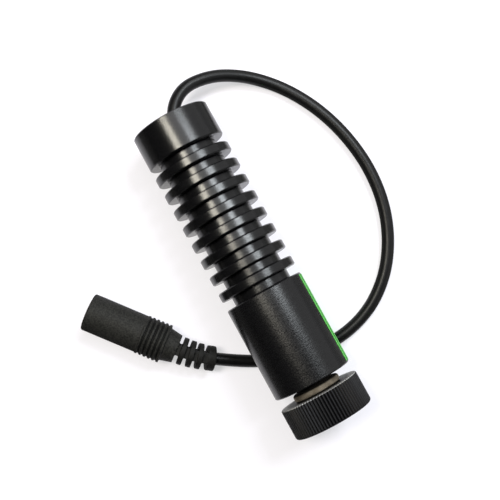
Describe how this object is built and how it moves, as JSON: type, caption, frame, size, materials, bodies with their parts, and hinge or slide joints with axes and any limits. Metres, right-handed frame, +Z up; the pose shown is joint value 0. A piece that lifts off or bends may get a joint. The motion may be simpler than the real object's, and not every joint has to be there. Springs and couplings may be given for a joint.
{
  "type": "laser diode module",
  "caption": "Finned black cylindrical laser diode module with a knurled focus knob at its front and a short cord that ends in a moulded round power socket.",
  "frame": {"origin": "on the surface that the module lies on, below the middle of the module's length, without its cord", "axes": "+Z up, +X along the beam from the cord's end to the focus knob, which is lifted 3.5 degrees because the module lies across its cord"},
  "size_m": [0.0998, 0.0931, 0.0276],
  "materials": {
    "black_anodised": "satin black anodised",
    "knob_anodised": "black anodised straight knurl",
    "brass": "dull turned brass",
    "label_film": "thin blank green film",
    "black_plastic": "moulded, fine matte",
    "black_moulding": "soft matte moulding",
    "cord_jacket": "soft satin jacket",
    "red_lead": "satin wire insulation",
    "nylon": "natural nylon",
    "sleeve_plastic": "thin sleeve",
    "gilt_metal": "gilt header and can",
    "circuit_board": "green solder mask",
    "black_resin": "moulded resin",
    "ferrite": "dull ceramic",
    "trimmer_plastic": "blue moulded",
    "capacitor_resin": "ochre resin",
    "lens_glass": "clear coated lens",
    "spring_steel": "drawn wire",
    "nickel": "bright nickel plate"
  },
  "bodies": {
    "module": {"housing": "black_anodised", "label": "label_film", "rear_cap": "black_plastic", "cord_tie": "nylon", "insulating_sleeve": "sleeve_plastic", "diode_holder": "brass", "laser_diode": "gilt_metal", "driver_board": "circuit_board", "driver_chip": "black_resin", "inductor": "ferrite", "current_trimmer": "trimmer_plastic", "input_capacitor": "capacitor_resin", "chip_resistors": "ferrite", "lead_red": "red_lead", "lead_black": "cord_jacket", "socket_body": "black_moulding", "socket_insulator": "black_plastic", "socket_centre_pin": "nickel", "socket_contact": "nickel", "cord": "cord_jacket"},
    "carriage": {"focus_spring": "spring_steel"},
    "focus": {"focus_knob": "knob_anodised", "lens_cell": "brass", "collimating_lens": "lens_glass", "lens_retainer": "black_anodised"}
  },
  "joints": [
    {"name": "focus_travel", "type": "slide", "parent": "module", "child": "carriage", "axis": [0.9981, 0, 0.061], "range_m": [-0.0008, 0.0008], "deforming": ["focus_spring"]},
    {"name": "focus_turn", "type": "hinge", "parent": "carriage", "child": "focus", "pos_m": [0.04532, 0, 0.01651], "axis": [0.9981, 0, 0.061], "range_deg": [-540, 540]}
  ],
  "couplings": [
    {"joint": "focus_travel", "follows": "focus_turn", "m_per_rad": 0.000079577}
  ]
}
